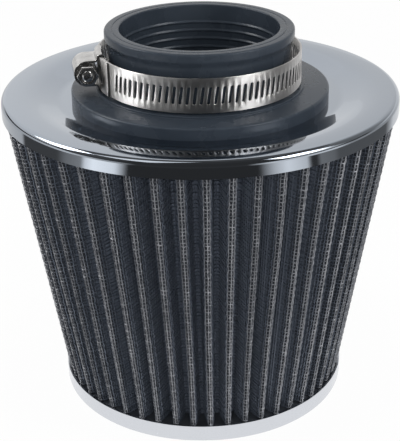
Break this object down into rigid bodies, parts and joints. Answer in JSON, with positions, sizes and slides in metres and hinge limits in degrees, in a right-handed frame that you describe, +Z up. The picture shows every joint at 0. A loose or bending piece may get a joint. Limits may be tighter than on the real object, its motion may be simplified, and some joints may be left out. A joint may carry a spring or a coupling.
{
  "type": "cone air filter",
  "caption": "Tapered pleated intake air filter with a dished chrome cover, a rubber inlet neck and a worm-drive hose clamp that fixes it to a round intake pipe.",
  "frame": {"origin": "on the inlet axis, at the foot of the closed end cap", "axes": "+Z up the inlet axis towards the open rim, the clamp's screw near -X with its head towards -Y"},
  "size_m": [0.1506, 0.1506, 0.1468],
  "materials": {
    "neck_rubber": "satin black moulded rubber",
    "cover_chrome": "bright chrome plate",
    "potting": "matt black potting compound",
    "wire_cloth": "grey coated wire cloth",
    "cotton_media": "dark oiled cotton",
    "cap_metal": "fine satin bright metal",
    "clamp_steel": "rolled stainless strip",
    "screw_steel": "turned steel"
  },
  "bodies": {
    "filter": {"inlet_neck": "neck_rubber", "top_cover": "cover_chrome", "top_seal": "potting", "outer_mesh": "wire_cloth", "filter_media": "cotton_media", "end_seal": "potting", "end_cap": "cap_metal", "clamp_band": "clamp_steel", "clamp_housing": "clamp_steel"},
    "worm_screw": {"clamp_screw": "screw_steel"}
  },
  "joints": [
    {"name": "screw_turn", "type": "hinge", "parent": "filter", "child": "worm_screw", "pos_m": [-0.04232, -0.00708, 0.13265], "axis": [0.165, -0.9863, 0], "continuous": true}
  ]
}
